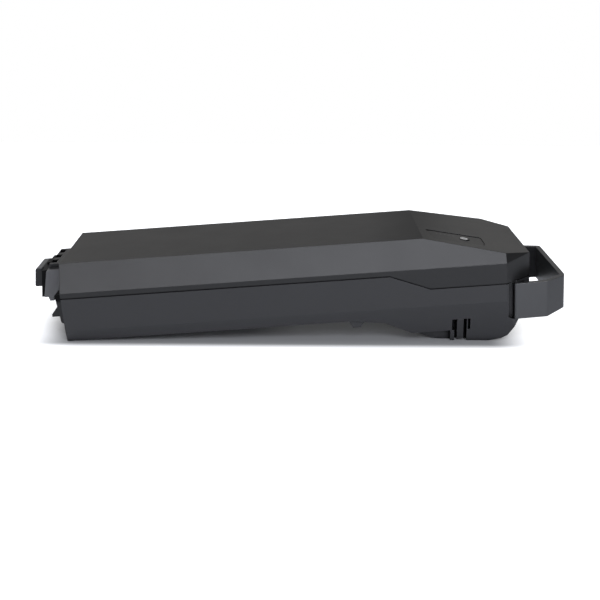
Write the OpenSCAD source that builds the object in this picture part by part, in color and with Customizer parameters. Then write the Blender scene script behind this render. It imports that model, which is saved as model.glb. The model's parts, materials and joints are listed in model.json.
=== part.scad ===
// Rear rack battery for an electric bicycle.
// X runs from the connector end to the handle end, Y across, Z up from the sole of the keel.
// The origin lies under the middle of the overall box.

/* [Case] */
// Length of the case from the front rim to the tip of the nose
case_l = 398; // [396:1:404]
// Width of the case over its upright sides
case_w = 125; // [122:1:130]
// Height of the case from the sole of the keel to the top
case_h = 94.5; // [92:0.5:100]
// Width of the flat top between the two long chamfers
top_w = 100.4; // [94:0.2:106]
// Height of the long chamfers
chamfer_h = 23; // [18:0.5:26]
// Length of the level part of the top
level_l = 307; // [304:1:312]
// Drop of the top from the level part to the tip of the nose
nose_drop = 20.5; // [16:0.5:23]
// Length of the nose, where the sides draw in
nose_l = 23; // [20:0.5:24]
// Width of the upright end face of the nose
nose_w = 86.8; // [82:0.2:92]
// Thickness of the case walls
wall = 3; // [2.5:0.1:3.2]

/* [Underside] */
// Height of the floor of the case over the lowest edge of the sole
floor_z = 28.5; // [26:0.5:30]
// Height of the line where the sides start to lean in
lean_z = 38; // [35:0.5:42]
// Angle at which the lower sides lean in
lean_angle = 14; // [8:1:16]
// Where the floor starts to curve down to the keel
sweep_x = 245; // [240:1:250]
// Where the curve meets the bottom edge of the sides
keel_x = 294; // [290:1:298]
// Height of the bottom edge of the sides where the keel starts
skirt_z = 12.8; // [12:0.2:14]
// Where the sole starts
sole_x = 314; // [310:1:318]
// Where the sole ends
sole_end_x = 360; // [356:1:364]
// Height of the front edge of the sole over its rear edge
sole_rise = 4.2; // [3:0.2:5]
// Where the shallow heel behind the sole ends
heel_x = 377; // [375:1:379]
// Height of the end of the heel
heel_z = 4; // [3:0.2:5]
// Height at which the sloping heel reaches the nose
rump_z = 33.5; // [30:0.5:37]
// Width of the narrow front part of the keel
throat_w = 100; // [94:1:104]

/* [Parting line] */
// Depth of the parting line along the front of the case under the top
part_drop = 27.6; // [26:0.1:29]
// Height of the parting line round the nose
part_rear_z = 53.5; // [52.6:0.1:54.4]
// Where the parting line starts to step down
step_x = 277; // [270:1:284]
// Where the step of the parting line ends
step_end_x = 311; // [306:1:318]
// Radius of the soft corners of the step
step_r = 16; // [8:1:20]
// Width of the shadow gap between the shells, filled by the gasket
gap_h = 0.8; // [0.6:0.1:1]
// How far the gasket lies behind the outer surface
gasket_inset = 0.9; // [0.6:0.1:1]
// Width of the gasket
gasket_w = 1.4; // [1.2:0.1:1.5]

/* [Handle] */
// How far the handle reaches behind the nose
handle_reach = 30; // [28:0.5:33]
// Thickness of the handle band
band_t = 4; // [3.8:0.1:4.4]
// Height of the handle band at its arms
band_h = 31; // [28:0.5:32]
// Width of the handle over the front ends of its arms
handle_w = 117.6; // [116.8:0.2:118.2]
// Width of the handle over the rear bends
bend_w = 112.2; // [111:0.2:113]
// Width of the straight end bar
bar_w = 90.6; // [84:0.2:96]
// Height of the lower edge of the arms
band_z = 20.8; // [20.2:0.1:21.6]
// Radius of the bends of the band
bend_r = 5; // [4.5:0.5:8]
// Height of the pivot
pivot_z = 47; // [46:0.5:47.5]
// How far the pivot lies ahead of the tip of the nose
pivot_back = 5; // [4.8:0.1:5.4]
// Radius of the pivot pins
pin_r = 2.5; // [2:0.1:3]
// Radial clearance of the pins in the handle
pin_gap = 0.05; // [0.03:0.01:0.08]
// Width of the open groove ahead of each arm
groove = 5; // [4.5:0.1:6]

/* [Indicator panel] */
// Distance of the panel from the break in the top, along the slope
panel_x = 8.7; // [7:0.1:10]
// Length of the panel along the slope
panel_l = 46.5; // [44:0.5:48]
// Thickness of the panel
panel_t = 1.2; // [1:0.1:1.4]
// Width of the gap round the panel
panel_gap = 0.35; // [0.3:0.05:0.5]
// Radius of the button cap
button_r = 4.3; // [3.8:0.1:4.6]
// Travel of the button
button_travel = 0.8; // [0.5:0.1:0.9]
// Place of the button along the slope from the break in the top
button_x = 39.2; // [38.5:0.1:40]
// Place of the button to the side of the middle of the case
button_y = 30.2; // [29.5:0.1:31]
// Number of charge lamps
led_count = 5; // [3:1:5]
// Distance between the charge lamps
led_pitch = 3.7; // [3.2:0.1:3.8]

/* [Connector end] */
// Width of the connector block
block_w = 63.4; // [60:0.2:66]
// How far the connector block stands out at its top
block_out = 16.5; // [15:0.5:18]
// How far the foot of the connector block stands out
block_foot = 21.8; // [20:0.2:22.6]
// Height of the connector block
block_h = 24; // [22:0.5:26]
// Depth of the top of the connector block under the top of the case
block_drop = 10.5; // [9.5:0.5:12]
// Width of the plug nose
plug_w = 29; // [27:0.5:32]
// How far the plug nose stands out from the front rim
plug_out = 33; // [30:0.5:36]
// Height of the plug nose
plug_h = 17; // [15:0.5:18]
// Width of the end plate below the connector block
plate_w = 90; // [84:1:94]
// Thickness of the end plate at its top
plate_t = 9.5; // [8.5:0.5:10]
// Depth of the lower edge of the end plate under the connector block
plate_drop = 21; // [18:0.5:22]
// Distance between the middles of the two hooks
hook_pitch = 66; // [60:1:70]
// Width of each hook
hook_w = 9; // [7:0.5:11]
// How far each hook stands out from the end plate
hook_out = 6.5; // [5:0.5:8]

/* [Charging socket] */
// Place of the charging socket along the case
charge_x = 190; // [180:1:196]
// Depth of the middle of the charging socket under the parting line
charge_drop = 15.9; // [15.5:0.1:16.5]
// Length of the flap over the socket
flap_l = 26; // [24:0.5:30]
// Height of the flap
flap_h = 18; // [17:0.5:19]
// Thickness of the flap
flap_t = 2; // [1.8:0.1:2.2]
// Radius of the mouth of the socket
mouth_r = 6.4; // [6:0.1:6.8]
// Radius of the bore of the jack
jack_r = 2.8; // [2.5:0.1:3.2]

/* [Cells] */
// Radius of a cell
cell_r = 9.2; // [9:0.1:9.3]
// Length of a cell
cell_l = 65; // [63:0.5:65.5]
// Gap between neighbouring cells
cell_gap = 0.6; // [0.5:0.1:0.7]
// Most cells side by side in each row
row_cells = 5; // [4:1:5]
// Most layers of cells
layer_count = 2; // [1:1:2]
// Blocks of cells from front to rear
block_count = 5; // [3:1:5]
// Thickness of a cell holder plate
holder_t = 5; // [4:0.5:6]

/* [Hidden] */
// Smoothness of round shapes
$fn = 48;
// Steps of a rounded corner in an outline
corner_steps = 6;
// Overrun of cuts past a surface
over = 1;
// Gap between pieces that sit beside each other
fit = 0.3;
// Gap of a round piece in its own hole
snug = 0.05;

// Places that follow from the driving sizes
nose_x = case_l - nose_l;
slope_angle = atan(nose_drop / (case_l - level_l));
handle_x = case_l + handle_reach;
mid_x = (handle_x - plug_out) / 2;
pivot_x = case_l - pivot_back;
groove_from = 2;
arm_x = nose_x + groove_from + groove;
in_floor_z = floor_z + wall;
cell_pitch = 2 * cell_r + cell_gap;
part_front_z = case_h - part_drop;
block_top_z = case_h - block_drop;
plate_z = block_top_z - block_h - plate_drop;
charge_z = part_front_z - charge_drop;
sole_half_w = case_w / 2 - lean_z * tan(lean_angle);

// Colours of the pieces
shell_colour = [0.26, 0.26, 0.27];
trim_colour = [0.14, 0.14, 0.15];
grey_colour = [0.36, 0.36, 0.38];
steel_colour = [0.62, 0.63, 0.65];
brass_colour = [0.78, 0.62, 0.3];
cell_colour = [0.2, 0.45, 0.62];
board_colour = [0.1, 0.35, 0.2];

function unit(v) = v / norm(v);
function turned(v) = [-v[1], v[0]];
function near_index(points, i) = (i + len(points)) % len(points);

// An outline drawn in by d on every side. The points run anticlockwise
function inset(points, d) = [
    for (i = [0:len(points) - 1])
        let (
            before = points[near_index(points, i - 1)],
            here = points[i],
            after = points[near_index(points, i + 1)],
            n1 = turned(unit(here - before)),
            n2 = turned(unit(after - here))
        )
        here + d * (n1 + n2) / (1 + n1 * n2)
];

// The points of one rounded corner of an outline
function corner(before, here, after, r) =
    r == 0 ? [here] :
    let (
        u = unit(before - here),
        v = unit(after - here),
        half = acos(u * v) / 2,
        centre = here + unit(u + v) * r / sin(half),
        from = here + u * r / tan(half) - centre,
        to = here + v * r / tan(half) - centre,
        start = atan2(from[1], from[0]),
        sweep = (atan2(to[1], to[0]) - start + 540) % 360 - 180
    )
    [for (k = [0:corner_steps]) centre + r * [cos(start + sweep * k / corner_steps),
        sin(start + sweep * k / corner_steps)]];

// An outline with a radius given for each of its corners
function rounded(points, radii) = [
    for (i = [0:len(points) - 1])
        for (p = corner(points[near_index(points, i - 1)], points[i],
                points[near_index(points, i + 1)], radii[i]))
            p
];

// Outline of the case seen from the side
sweep_bulge = 2;
sole_run = 2.5;

side_outline = [
    [0, floor_z],
    [sweep_x, floor_z],
    [(sweep_x + keel_x) / 2 + sweep_bulge, floor_z - (floor_z - skirt_z) / 4],
    [keel_x, skirt_z],
    [sole_x - sole_run, sole_rise + sole_run / 2],
    [sole_x + sole_run, sole_rise - sole_rise * sole_run / (sole_end_x - sole_x)],
    [sole_end_x, 0],
    [sole_end_x + (heel_x - sole_end_x) * 2 / 3, heel_z / 3],
    [heel_x, heel_z],
    [case_l, rump_z],
    [case_l, case_h - nose_drop],
    [level_l, case_h],
    [0, case_h]
];

// Outline of the case seen from above
plan_outline = [
    [0, -case_w / 2],
    [nose_x, -case_w / 2],
    [case_l, -nose_w / 2],
    [case_l, nose_w / 2],
    [nose_x, case_w / 2],
    [0, case_w / 2]
];

// Cross section of the case
cross_outline = [
    [-sole_half_w, 0],
    [sole_half_w, 0],
    [case_w / 2, lean_z],
    [case_w / 2, case_h - chamfer_h],
    [top_w / 2, case_h],
    [-top_w / 2, case_h],
    [-case_w / 2, case_h - chamfer_h],
    [-case_w / 2, lean_z]
];

// Height of the parting line at a place along the case
function part_z(x) =
    x <= step_x ? part_front_z :
    x >= step_end_x ? part_rear_z :
    part_front_z + (part_rear_z - part_front_z) * (x - step_x) / (step_end_x - step_x);

// Outline of all that lies above the parting line, raised by lift
function above_part(lift) = rounded([
    [-2 * case_h, part_front_z + lift],
    [step_x, part_front_z + lift],
    [step_end_x, part_rear_z + lift],
    [case_l + case_h, part_rear_z + lift],
    [case_l + case_h, 2 * case_h],
    [-2 * case_h, 2 * case_h]
], [0, step_r, step_r, 0, 0, 0]);

// Places everything about the middle of the overall length
module placed() {
    translate([-mid_x, 0, 0]) children();
}

// Both sides of the case, from a piece on the far side
module both_sides() {
    children();
    mirror([0, 1, 0]) children();
}

// A side outline extruded across the case
module across(outline, width) {
    rotate([90, 0, 0]) linear_extrude(width, center = true) polygon(outline);
}

// A cross section extruded along the case, from one place to another
module along(outline, from_x, to_x) {
    translate([from_x, 0, 0]) rotate([90, 0, 90]) linear_extrude(to_x - from_x) polygon(outline);
}

// A box between two opposite corners
module span(low, high) {
    translate(low) cube(high - low);
}

// A round bar along Y
module bar_y(x, z, r, from_y, to_y) {
    translate([x, from_y, z]) rotate([-90, 0, 0]) cylinder(r = r, h = to_y - from_y);
}

// A round bar along X
module bar_x(y, z, r, from_x, to_x) {
    translate([from_x, y, z]) rotate([0, 90, 0]) cylinder(r = r, h = to_x - from_x);
}

// The corner between the chamfer, the slope and the side of the nose is cut by one more facet
function chamfer_y(z) = case_w / 2 - (case_w - top_w) / 2 * (z - case_h + chamfer_h) / chamfer_h;
nose_break_z = case_h - nose_drop * (nose_x - level_l) / (case_l - level_l);
facet_points = [
    [nose_x, chamfer_y(nose_break_z), nose_break_z],
    [nose_x, case_w / 2, case_h - chamfer_h],
    [case_l, nose_w / 2, case_h - nose_drop]
];
facet_normal = unit(cross(facet_points[2] - facet_points[0], facet_points[1] - facet_points[0]));

module nose_facet(d) {
    translate(facet_points[0] - facet_normal * d)
        rotate([0, acos(facet_normal[2]), atan2(facet_normal[1], facet_normal[0])])
            translate([-case_h, -case_h, 0]) cube([2 * case_h, 2 * case_h, case_h]);
}

// The solid form of the case, drawn in by d
module case_form(d) {
    difference() {
        intersection() {
            across(inset(side_outline, d), case_w + 2 * over);
            linear_extrude(case_h + over) polygon(inset(plan_outline, d));
            along(inset(cross_outline, d), -over, case_l + over);
        }
        both_sides() nose_facet(d);
    }
}

// Screws that hold the shells together
side_screw_inset = 7.3;
keel_screw_inset = 17.5;
side_screw_y = case_w / 2 - side_screw_inset;
keel_screw_y = case_w / 2 - keel_screw_inset;
screw_lead = 20;
screw_xs = [3.5 * wall, sweep_x / 2, sweep_x - screw_lead, nose_x - 3.5 * wall];
screw_ys = [side_screw_y, side_screw_y, side_screw_y, keel_screw_y];
screw_r = 1.5;
screw_l = 18;
screw_head_r = 2.8;
screw_head_h = 2.4;
screw_bite = 10;
column_r = 4.6;
well_r = 3.1;

module screw_places() {
    for (i = [0:len(screw_xs) - 1])
        both_sides()
            translate([screw_xs[i], screw_ys[i], part_z(screw_xs[i])]) children();
}

// Keel: its sides step in ahead of the catches
catch_back = 15;
catch_x = sole_x + catch_back;
catch_w = 15.5;
catch_drop = 14.5;
catch_top_z = lean_z - catch_drop;
catch_depth = 5;
catch_y = sole_half_w - catch_depth;
keel_room = 6;
throat_from = keel_x - keel_room;

module throat_cut() {
    both_sides()
        span([throat_from, throat_w / 2, -over], [catch_x - wall / 2, case_w, skirt_z]);
}

// Pockets of the handle arms, open to the rear, with a floor that follows the swing of the arms
arm_play = 0.8;
swing_play = 0.5;
band_dip = 0.6;
pocket_y = handle_w / 2 - band_t - arm_play;
swing_r = norm([pivot_x - arm_x, pivot_z - band_z + band_dip]) + swing_play;
hub_r = 3.8;
hub_reach = 0.9;
hub_y = bend_w / 2 - band_t + hub_reach;

module arm_pockets(grow) {
    both_sides()
        intersection() {
            span([arm_x - groove - grow, pocket_y - grow, 0],
                [case_l + over, case_w, part_rear_z + grow / 3]);
            bar_y(pivot_x, pivot_z, swing_r + grow, 0, case_w);
        }
}

// Window in the front wall for the neck of the connector block
neck_w = block_w - 4 * wall;
neck_h = block_h - 2.4 * wall;
neck_z = block_top_z - block_h / 2;

module neck_window(grow) {
    translate([0, 0, neck_z])
        cube([3 * wall, neck_w + 2 * grow, neck_h + 2 * grow], center = true);
}

// Hollow of the charging flap on the far side
flap_axis_z = charge_z + flap_h / 2 - flap_t / 2;
flap_axis_y = case_w / 2 - flap_t / 2;
flap_pin_r = 0.7;
flap_pin_l = 1.4;

module flap_hollow() {
    span([charge_x - flap_l / 2 - fit, case_w / 2 - flap_t - fit, charge_z - flap_h / 2 - fit],
        [charge_x + flap_l / 2 + fit, case_w, charge_z + flap_h / 2 + fit]);
    bar_y(charge_x, charge_z, mouth_r + fit, jack_back_y - fit, case_w);
    bar_x(flap_axis_y, flap_axis_z, flap_pin_r + snug, charge_x - flap_l / 2 - flap_pin_l - fit,
        charge_x + flap_l / 2 + flap_pin_l + fit);
}

// Walls behind the hollow of the flap
module flap_backing() {
    span([charge_x - flap_l / 2 - wall, case_w / 2 - wall - flap_t, charge_z - flap_h / 2 - wall],
        [charge_x + flap_l / 2 + wall, case_w / 2 - wall / 2, charge_z + flap_h / 2 + wall]);
}

module case_room() {
    difference() {
        case_form(wall);
        translate([0, -case_w, -case_h]) cube([case_l, 2 * case_w, case_h + skirt_z + wall]);
    }
    span([sole_x + keel_room / 3, -throat_w / 2 + wall, sole_rise + wall],
        [sole_end_x + keel_room, throat_w / 2 - wall, skirt_z + 2 * wall]);
}

// Lugs under the floor that run beside the carrier rails
lug_lead = 5;
lug_x = sweep_x - lug_lead;
lug_l = 17;
lug_h = 7;
lug_w = 4;
lug_inset = 6;
lug_y = case_w / 2 - lug_inset;

module rail_lugs() {
    both_sides()
        translate([0, lug_y - lug_w / 2, 0])
            across([
                [lug_x, floor_z + over],
                [lug_x + lug_l / 4, floor_z - lug_h],
                [lug_x + lug_l * 5 / 8, floor_z - lug_h],
                [lug_x + lug_l, floor_z + over]
            ], lug_w);
}

// Ribs that carry the rear blocks of cells over the keel
rib_y = cell_pitch * 3 / 2;
rib_t = 2.4;

module pack_ribs() {
    for (y = [-rib_y, rib_y])
        intersection() {
            span([sweep_x - over, y - rib_t / 2, 0], [nose_x - 4 * wall, y + rib_t / 2, in_floor_z]);
            case_form(wall / 2);
        }
}

module lower_shell() {
    color(shell_colour) placed()
        difference() {
            union() {
                difference() {
                    case_form(0);
                    case_room();
                }
                intersection() {
                    union() {
                        arm_pockets(wall);
                        flap_backing();
                        catch_backing();
                        screw_places() translate([0, 0, -case_h]) cylinder(r = column_r, h = case_h);
                        pack_ribs();
                    }
                    case_form(0);
                }
                both_sides() bar_y(pivot_x, pivot_z, hub_r, nose_w / 2 - 2 * wall, hub_y);
                rail_lugs();
            }
            across(above_part(-gap_h / 2), 2 * case_w);
            throat_cut();
            difference() {
                arm_pockets(0);
                both_sides() bar_y(pivot_x, pivot_z, hub_r, 0, hub_y);
            }
            both_sides() bar_y(pivot_x, pivot_z, pin_r + snug / 2, pin_from_y, case_w);
            both_sides() catch_cut();
            neck_window(snug);
            flap_hollow();
            screw_places() {
                translate([0, 0, -case_h]) cylinder(r = well_r, h = case_h - screw_bite / 2 - screw_head_h);
                translate([0, 0, -screw_bite]) cylinder(r = screw_r + snug, h = 2 * screw_bite);
            }
            plate_screw_places()
                rotate([0, 90, 0]) cylinder(r = screw_r + snug, h = 2 * plate_screw_l, center = true);
        }
}

// Window, slots and back of the catch in the side of the keel
catch_lip = 1.9;
catch_slot = 2.3;
tongue_x = catch_x + catch_lip + catch_slot;
tongue_w = 5.5;
slot_w = 2.8;
catch_back_t = 1.2;
catch_rib_t = 1;

module catch_cut() {
    span([catch_x, catch_y, skirt_z], [catch_x + catch_w, case_w, catch_top_z]);
    span([catch_x + catch_lip, catch_y, -over], [tongue_x + tongue_w + slot_w, case_w, skirt_z + over]);
}

// Walls that close the case behind the catches
module catch_backing() {
    both_sides()
        span([catch_x - wall, catch_y - wall, heel_z],
            [catch_x + catch_w + wall, case_w, catch_top_z + wall]);
}

module side_catches() {
    color(trim_colour) placed() both_sides()
        intersection() {
            union() {
                // back plate
                span([catch_x + snug, catch_y + snug, skirt_z + snug],
                    [catch_x + catch_w - snug, catch_y + catch_back_t, catch_top_z - snug]);
                // spring tongue
                span([tongue_x, catch_y + catch_back_t / 2, heel_z + fit],
                    [tongue_x + tongue_w, case_w, catch_top_z - snug]);
                // thin rib
                span([tongue_x + tongue_w + slot_w, catch_y + catch_back_t / 2, skirt_z + snug],
                    [tongue_x + tongue_w + slot_w + catch_rib_t, case_w, catch_top_z - snug]);
            }
            along(inset(cross_outline, snug), 0, case_l);
        }
}

// Slope of the top behind its level part: x runs down the slope, z stands off it
module on_slope() {
    translate([level_l, 0, case_h]) rotate([0, slope_angle, 0]) children();
}

panel_far_y = -15.6;
panel_near_y = -44;
panel_lean = 1.8;
panel_sink = 0.3;
stem_r = button_r + fit;
flange_w = 1.7;
flange_r = button_r + flange_w;
flange_t = 1;
corner_r = 0.4;
plunger_r = 1.5;
plunger_l = 2.6;
board_z = -8.8;
board_t = 1.6;
board_edge = 1;
board_l = panel_l - 4 * board_edge;
board_w = 24;
board_y = -button_y - board_edge;
led_in = 6.6;
led_x = panel_x + led_in;
led_side = 6.1;
led_y = led_side - button_y;
guide_r = 0.9;
post_r = 2.4;
post_in = 4;
post_xs = [panel_x + post_in, panel_x + panel_l - post_in];
post_y = board_y - board_w / 2 + post_r + fit;
lamp_screw_bite = 5;

// Outline of the indicator panel on the slope
panel_outline = [
    [panel_x + panel_lean, panel_near_y],
    [panel_x + panel_l - panel_lean, panel_near_y],
    [panel_x + panel_l, (panel_far_y + 3 * panel_near_y) / 4],
    [panel_x + panel_l, panel_far_y - 2 * panel_lean],
    [panel_x + panel_l - panel_lean, panel_far_y - panel_lean],
    [panel_x, panel_far_y],
    [panel_x - panel_lean, panel_far_y - panel_lean]
];

module lamp_places() {
    for (k = [0:led_count - 1])
        translate([led_x + k * led_pitch, led_y, 0]) children();
}

// Room that the columns leave for the indicator board and its screws
module board_room() {
    on_slope()
        translate([panel_x, board_y - board_w / 2 - fit, -case_h])
            cube([panel_l - 3 * board_edge + fit, board_w + 2 * fit, case_h + guide_low]);
}

module top_shell() {
    color(shell_colour) placed()
        difference() {
            union() {
                difference() {
                    case_form(0);
                    case_form(wall);
                }
                intersection() {
                    union() {
                        difference() {
                            screw_places() cylinder(r = column_r, h = case_h);
                            board_room();
                        }
                        on_slope()
                            for (x = post_xs)
                                translate([x, post_y, board_z]) cylinder(r = post_r, h = -board_z);
                    }
                    case_form(wall / 2);
                }
            }
            difference() {
                translate([-case_h, -case_w, -case_h]) cube([case_l + 2 * case_h, 2 * case_w, 2 * case_h]);
                across(above_part(gap_h / 2), 3 * case_w);
            }
            neck_window(snug);
            screw_places() cylinder(r = screw_r + snug, h = screw_bite);
            on_slope() {
                translate([0, 0, -panel_t])
                    linear_extrude(case_h) polygon(inset(panel_outline, -panel_gap));
                translate([button_x, -button_y, -case_h / 2]) cylinder(r = stem_r, h = case_h);
                lamp_places() translate([0, 0, -case_h / 4]) cylinder(r = guide_r + snug, h = case_h / 2);
                for (x = post_xs)
                    translate([x, post_y, board_z - over])
                        cylinder(r = lamp_screw_r + snug, h = lamp_screw_bite + over);
            }
        }
}

// The gasket follows the parting line round the case
module shell_gasket() {
    color(trim_colour) placed()
        difference() {
            intersection() {
                difference() {
                    case_form(gasket_inset);
                    case_form(gasket_inset + gasket_w);
                }
                difference() {
                    across(above_part(-gap_h / 2), 2 * case_w);
                    across(above_part(gap_h / 2), 3 * case_w);
                }
            }
            neck_window(fit);
        }
}

module case_screws() {
    color(steel_colour) placed() screw_places() {
        translate([0, 0, screw_bite - screw_l - screw_head_h + fit])
            difference() {
                cylinder(r = screw_head_r, h = screw_head_h);
                translate([0, 0, -over]) cylinder(r = screw_r, h = over + screw_head_h / 2, $fn = 6);
            }
        translate([0, 0, screw_bite - screw_l]) cylinder(r = screw_r, h = screw_l - fit);
    }
}

// Handle: a tall band bent round the nose, on two blind pins
pin_in = 7;
pin_out = 2.9;
pin_from_y = hub_y - pin_in;
pin_to_y = hub_y + pin_out;
arm_tip_r = 2;
bend_back = 17.6;
bend_x = pivot_x + bend_back;

handle_outline = [
    [arm_x, -handle_w / 2],
    [bend_x, -bend_w / 2],
    [handle_x, -bar_w / 2],
    [handle_x, bar_w / 2],
    [bend_x, bend_w / 2],
    [arm_x, handle_w / 2]
];

// The inside of the band runs on past the front ends of the arms
function run_on(from, to) = to + 3 * band_t * unit(to - from);
function stretched(points) = [
    for (i = [0:len(points) - 1])
        i == 0 ? run_on(points[1], points[0]) :
        i == len(points) - 1 ? run_on(points[i - 1], points[i]) :
        points[i]
];

// Radii of the outline of the handle: two arm tips and four bends
function bend_radii(tip, bend) = [tip, bend, bend, bend, bend, tip];

// The band seen from the side: it dips at the bends and lifts at the end bar
band_lift = 2.6;
band_crown = 0.8;
band_profile = [
    [arm_x - over, band_z - band_dip],
    [bend_x, band_z - 2 * band_dip],
    [handle_x + over, band_z + band_lift],
    [handle_x + over, band_z + band_h + band_crown],
    [bend_x, band_z + band_h - band_dip],
    [arm_x - over, band_z + band_h]
];

module handle() {
    color(grey_colour) placed()
        difference() {
            intersection() {
                linear_extrude(case_h)
                    difference() {
                        polygon(rounded(handle_outline, bend_radii(arm_tip_r, bend_r)));
                        polygon(rounded(stretched(inset(handle_outline, band_t)),
                            bend_radii(0, bend_r - band_t)));
                    }
                across(band_profile, 2 * handle_w);
            }
            both_sides() bar_y(pivot_x, pivot_z, pin_r + pin_gap, 0, pin_to_y + fit);
        }
}

module handle_pins() {
    color(steel_colour) placed() both_sides() bar_y(pivot_x, pivot_z, pin_r, pin_from_y, pin_to_y);
}

// Indicator panel, its button and the board behind it
lamp_h = 1.2;
lamp_l = 2;
lamp_w = 1.6;
switch_w = 6;
lamp_screw_r = 1;
lamp_screw_l = lamp_screw_bite + board_t;
bar_t = 1;
guide_top = -panel_t;
guide_low = board_z + lamp_h + snug;
stem_low = -wall - flange_t - snug;
switch_top = stem_low - button_travel - fit;

module indicator_panel() {
    color(grey_colour) placed() on_slope()
        difference() {
            translate([0, 0, -panel_t]) linear_extrude(panel_t - panel_sink) polygon(panel_outline);
            translate([button_x, -button_y, -case_h / 2]) cylinder(r = stem_r, h = case_h);
        }
}

module power_button() {
    color(grey_colour) placed() on_slope() translate([button_x, -button_y, 0]) {
        translate([0, 0, -wall - snug]) cylinder(r = button_r, h = wall + snug + fit - corner_r);
        translate([0, 0, fit - corner_r]) cylinder(r1 = button_r, r2 = button_r - corner_r, h = corner_r);
        translate([0, 0, stem_low]) cylinder(r = flange_r, h = flange_t);
    }
}

module light_guide() {
    color([0.85, 0.87, 0.9]) placed() on_slope() {
        lamp_places() translate([0, 0, guide_low]) cylinder(r = guide_r, h = guide_top - guide_low);
        translate([led_x, led_y - guide_r, -wall - snug - bar_t])
            cube([(led_count - 1) * led_pitch, 2 * guide_r, bar_t]);
    }
}

module indicator_board() {
    color(board_colour) placed() on_slope()
        difference() {
            translate([panel_x + board_edge, board_y - board_w / 2, board_z - board_t])
                cube([board_l, board_w, board_t]);
            for (x = post_xs)
                translate([x, post_y, board_z - 2 * board_t])
                    cylinder(r = lamp_screw_r + snug, h = 3 * board_t);
        }
}

module board_screws() {
    color(steel_colour) placed() on_slope()
        for (x = post_xs)
            translate([x, post_y, board_z - board_t]) {
                translate([0, 0, -screw_r]) cylinder(r = 2 * lamp_screw_r, h = screw_r);
                cylinder(r = lamp_screw_r, h = lamp_screw_l - fit);
            }
}

module indicator_lamps() {
    color([0.9, 0.9, 0.85]) placed() on_slope() lamp_places()
        translate([-lamp_l / 2, -lamp_w / 2, board_z]) cube([lamp_l, lamp_w, lamp_h]);
}

module button_switch() {
    color(trim_colour) placed() on_slope()
        difference() {
            translate([button_x - switch_w / 2, -button_y - switch_w / 2, board_z])
                cube([switch_w, switch_w, switch_top - board_z]);
            translate([button_x, -button_y, switch_top - plunger_l])
                cylinder(r = plunger_r + snug, h = 2 * plunger_l);
        }
}

module switch_plunger() {
    color(grey_colour) placed() on_slope()
        translate([button_x, -button_y, stem_low - plunger_l]) cylinder(r = plunger_r, h = plunger_l);
}

// Connector block: a stepped housing with a comb of pockets in its top
lip_w = 48;
lip_h = 3.5;
pocket_pitch = 15.5;
pocket_l = 5.4;
pocket_w = 9.5;
pocket_depth = 9.5;
ear_r = 1.5;
saddle_w = 48;
saddle_out = 26;
saddle_foot = 2;
leg_w = 9;
leg_h = 3.6;
leg_from = 13.5;
leg_l = 5;
flange_h = 2;
slot_count = 5;
slot_pitch = 5.2;
contact_w = 3;
contact_h = 8;
contact_in = 4.5;
contact_t = 0.8;
tail_l = 2;
neck_flange = 2;
plug_drop = 2;
contact_drop = 1;
pocket_wall = 1.5;

block_side = rounded([
    [0, block_top_z - block_h],
    [0, block_top_z],
    [-block_out, block_top_z],
    [-block_foot, block_top_z - block_h]
], [0, 0, ear_r, ear_r / 2]);

module block_hollows() {
    for (k = [-1:1])
        translate([-block_out + pocket_wall, k * pocket_pitch, block_top_z + lip_h - pocket_depth])
            translate([0, -pocket_w / 2, 0]) cube([pocket_l, pocket_w, pocket_depth + over]);
}

plug_z = block_top_z - plug_h - plug_drop;
contact_z = plug_z + plug_h / 2 - contact_drop;

module contact_places() {
    for (k = [0:slot_count - 1])
        translate([0, (k - (slot_count - 1) / 2) * slot_pitch, contact_z]) children();
}

module connector_block() {
    color(grey_colour) placed()
        difference() {
            union() {
                rotate([90, 0, 0]) linear_extrude(block_w, center = true)
                    polygon([for (i = [len(block_side) - 1:-1:0]) block_side[i]]);
                // raised lip that holds the pockets
                across([
                    [0, block_top_z - over],
                    [0, block_top_z + lip_h],
                    [-block_out + ear_r, block_top_z + lip_h],
                    [-block_out + ear_r / 2, block_top_z + lip_h - ear_r],
                    [-block_out + ear_r / 2, block_top_z - over]
                ], lip_w);
                // short legs under the block
                both_sides() translate([0, (block_w - leg_w) / 2, 0])
                    across([
                        [-leg_from - leg_l, block_top_z - block_h + over],
                        [-leg_from - leg_l * 3 / 4, block_top_z - block_h - leg_h],
                        [-leg_from, block_top_z - block_h - leg_h],
                        [-leg_from, block_top_z - block_h + over]
                    ], leg_w);
                // neck and inner flange in the front wall
                translate([-over, -neck_w / 2, neck_z - neck_h / 2])
                    cube([wall + over + fit, neck_w, neck_h]);
                translate([wall + fit, -neck_w / 2 - neck_flange, neck_z - neck_h / 2 - neck_flange])
                    cube([flange_h, neck_w + 2 * neck_flange, neck_h + 2 * neck_flange]);
            }
            block_hollows();
            contact_places() translate([-plug_out - over, -contact_w / 2, -contact_h / 2])
                cube([2 * plug_out, contact_w, contact_h]);
        }
}

plug_lean = 2.5;
plug_low = 1;
plug_top_r = 2.5;
saddle_t = 5.5;
stop_in = 3.8;
stop_l = 4;
stop_w = 10;
stop_h = 1.8;

// Where the front face of the block lies at a height
function block_face_x(z) = -block_out - (block_foot - block_out) * (block_top_z - z) / block_h;

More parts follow.
